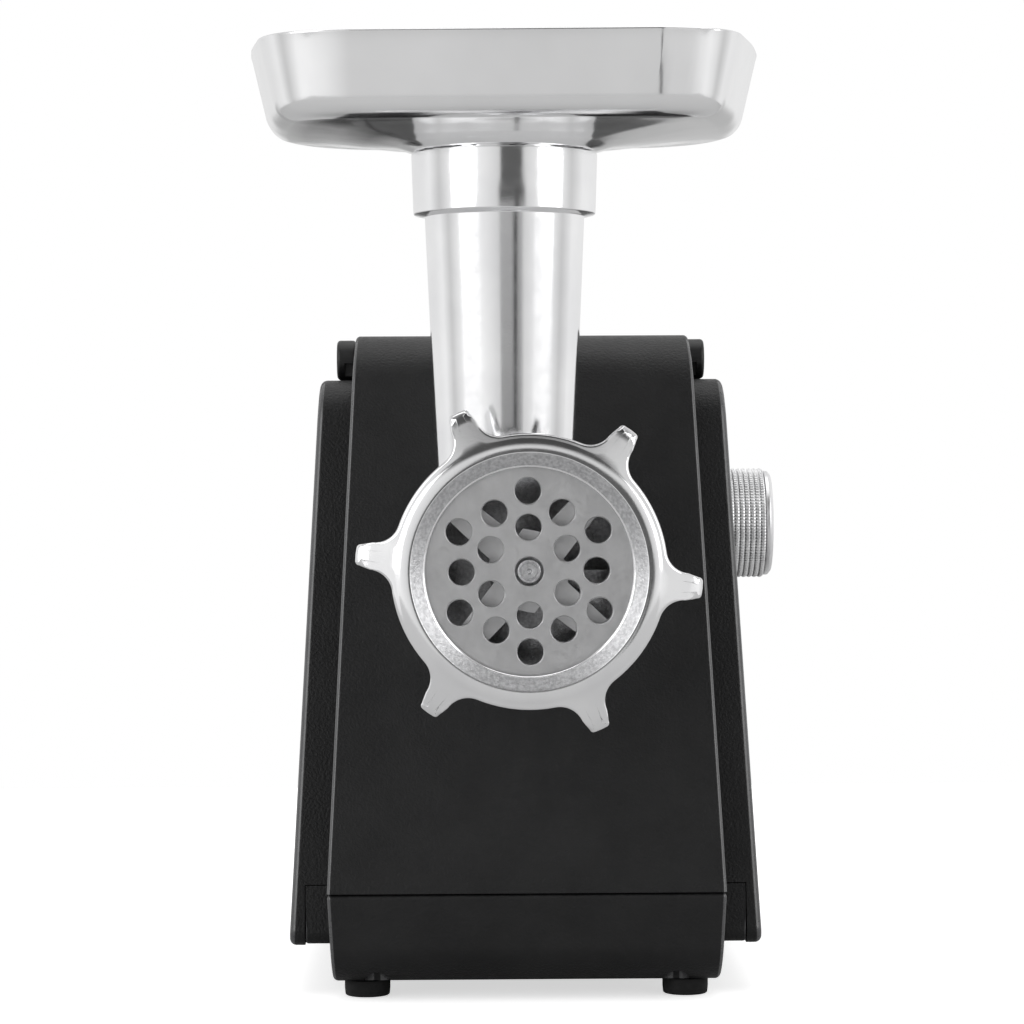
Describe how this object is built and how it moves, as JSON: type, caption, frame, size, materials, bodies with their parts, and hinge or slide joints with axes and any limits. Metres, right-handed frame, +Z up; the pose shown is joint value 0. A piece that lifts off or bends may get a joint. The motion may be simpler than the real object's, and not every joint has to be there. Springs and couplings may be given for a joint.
{
  "type": "electric meat grinder",
  "caption": "Electric meat grinder: black tapered housing with folding bail handle and rotary switch, cast head with feed tube, lugged screw ring, hole plate and metal feed tray.",
  "frame": {"origin": "bottom centre of the bounding box, on the plane of the feet", "axes": "+Z up, -Y the front with the screw ring, +X the side with the rotary switch"},
  "size_m": [0.1808, 0.3122, 0.3125],
  "materials": {
    "black_plastic": "fine grained black moulded plastic",
    "rubber": "matt black rubber",
    "cast_aluminium": "polished casting with a fine grain",
    "tray_aluminium": "polished pressed sheet",
    "steel": "turned steel",
    "plate_steel": "ground satin steel",
    "motor_iron": "laminated and pressed iron",
    "knob_chrome": "bright plated, knurled",
    "nylon": "natural nylon",
    "grey_plastic": "dark moulded plastic",
    "copper": "lacquered copper winding",
    "brass": "machined brass"
  },
  "bodies": {
    "housing": {"upper_housing": "black_plastic", "left_side_cover": "black_plastic", "right_side_cover": "black_plastic", "base_casing": "black_plastic", "foot_front_left": "rubber", "foot_front_right": "rubber", "foot_rear_left": "rubber", "foot_rear_right": "rubber", "base_screw_front_left": "steel", "base_screw_front_right": "steel", "base_screw_rear_left": "steel", "base_screw_rear_right": "steel", "handle_pivot_left": "steel", "handle_pivot_right": "steel", "switch_module": "nylon", "cord_gland": "rubber", "head_socket": "cast_aluminium", "gearbox_housing": "cast_aluminium", "gearbox_cover": "cast_aluminium", "output_bush": "brass", "idler_shaft_1": "steel", "idler_shaft_2": "steel", "motor_stator": "motor_iron", "field_coil_left": "copper", "field_coil_right": "copper", "motor_bracket_front": "motor_iron", "motor_bracket_rear": "motor_iron", "motor_bearing_front": "steel", "motor_bearing_rear": "steel", "brush_holder_left": "brass", "brush_holder_right": "brass", "button_spring": "steel", "rocker_pin": "steel"},
    "handle": {"carry_handle": "black_plastic"},
    "knob": {"knob_grip": "knob_chrome", "knob_bezel": "knob_chrome", "knob_shaft": "nylon"},
    "button": {"release_button": "grey_plastic"},
    "rocker": {"latch_rocker": "grey_plastic"},
    "bolt": {"latch_bolt": "steel"},
    "output": {"output_gear": "steel", "output_shaft": "steel"},
    "idler_2": {"idler_gear_2": "steel"},
    "idler_1": {"idler_gear_1": "steel"},
    "rotor": {"armature_core": "motor_iron", "armature_shaft": "steel", "commutator": "copper", "cooling_fan": "nylon", "motor_pinion": "steel"},
    "head": {"head_casting": "cast_aluminium", "auger_bush": "nylon"},
    "auger": {"auger_worm": "cast_aluminium", "drive_coupling": "grey_plastic", "knife": "plate_steel"},
    "plate": {"grinding_plate": "plate_steel"},
    "ring": {"screw_ring": "cast_aluminium"},
    "tray": {"hopper_tray": "tray_aluminium"}
  },
  "joints": [
    {"name": "handle_swing", "type": "hinge", "parent": "housing", "child": "handle", "pos_m": [-0.0013, 0.0272, 0.218], "axis": [1, 0, 0], "range_deg": [0, 92]},
    {"name": "knob_turn", "type": "hinge", "parent": "housing", "child": "knob", "pos_m": [0.0787, 0.0542, 0.1584], "axis": [1, 0, 0], "range_deg": [-60, 60]},
    {"name": "button_press", "type": "slide", "parent": "housing", "child": "button", "axis": [0, 0, -1], "range_m": [0, 0.004], "stiffness_N_per_m": 400, "springref_m": -0.004, "deforming": ["button_spring"]},
    {"name": "rocker_turn", "type": "hinge", "parent": "housing", "child": "rocker", "pos_m": [-0.0013, -0.0048, 0.201], "axis": [-1, 0, 0], "range_deg": [0, 11]},
    {"name": "latch_lift", "type": "slide", "parent": "housing", "child": "bolt", "axis": [0, 0, 1], "range_m": [0, 0.0039]},
    {"name": "output_spin", "type": "hinge", "parent": "housing", "child": "output", "pos_m": [-0.0013, -0.0058, 0.146], "axis": [0, 1, 0], "continuous": true},
    {"name": "idler_2_spin", "type": "hinge", "parent": "housing", "child": "idler_2", "pos_m": [0.0187, -0.0008, 0.1179], "axis": [0, 1, 0], "continuous": true},
    {"name": "idler_1_spin", "type": "hinge", "parent": "housing", "child": "idler_1", "pos_m": [-0.01175, 0.0092, 0.1109], "axis": [0, 1, 0], "continuous": true},
    {"name": "rotor_spin", "type": "hinge", "parent": "housing", "child": "rotor", "pos_m": [-0.0013, 0.0642, 0.086], "axis": [0, 1, 0], "continuous": true},
    {"name": "head_slide", "type": "slide", "parent": "housing", "child": "head", "axis": [0, -1, 0], "range_m": [0, 0.06]},
    {"name": "auger_spin", "type": "hinge", "parent": "head", "child": "auger", "pos_m": [-0.0013, -0.0858, 0.146], "axis": [0, 1, 0], "continuous": true},
    {"name": "plate_slide", "type": "slide", "parent": "head", "child": "plate", "axis": [0, -1, 0], "range_m": [0, 0.0121]},
    {"name": "ring_turn", "type": "hinge", "parent": "plate", "child": "ring", "pos_m": [-0.0013, -0.1258, 0.146], "axis": [0, -1, 0], "range_deg": [0, 1080]},
    {"name": "tray_lift", "type": "slide", "parent": "head", "child": "tray", "axis": [0, 0, 1], "range_m": [0, 0.05]}
  ],
  "couplings": [
    {"joint": "rocker_turn", "follows": "button_press", "rad_per_m": 47.62},
    {"joint": "latch_lift", "follows": "button_press", "ratio": 0.95},
    {"joint": "idler_2_spin", "follows": "output_spin", "ratio": -3.6},
    {"joint": "idler_1_spin", "follows": "output_spin", "ratio": 14.4},
    {"joint": "rotor_spin", "follows": "output_spin", "ratio": -72},
    {"joint": "auger_spin", "follows": "output_spin", "ratio": 1},
    {"joint": "plate_slide", "follows": "ring_turn", "m_per_rad": 0.00063662}
  ]
}
